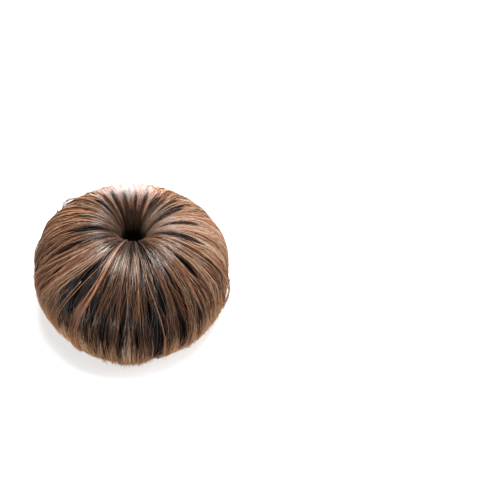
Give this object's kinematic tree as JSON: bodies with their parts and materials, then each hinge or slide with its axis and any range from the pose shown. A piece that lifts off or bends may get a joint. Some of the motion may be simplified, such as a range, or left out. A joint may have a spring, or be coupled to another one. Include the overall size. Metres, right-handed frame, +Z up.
{
  "type": "top knot hairpiece",
  "caption": "Round bun hairpiece of straight brown hair with a dimpled crown, a tucked-under rim, a round backing cap and a hidden plain comb.",
  "frame": {"origin": "centre of the hair's box, on the plane that the rim rests on", "axes": "+Z up through the dimple; -Y towards the side that faces the camera in the picture; +X to the right in the picture"},
  "size_m": [0.0992, 0.1002, 0.054],
  "materials": {
    "hair": "straight brown synthetic hair with lighter tan and red-brown strands",
    "net": "dark woven net with a hem band",
    "comb": "moulded dark brown plastic"
  },
  "bodies": {
    "root": {"hair_bun": "hair", "base_cap": "net", "comb": "comb"}
  },
  "joints": []
}
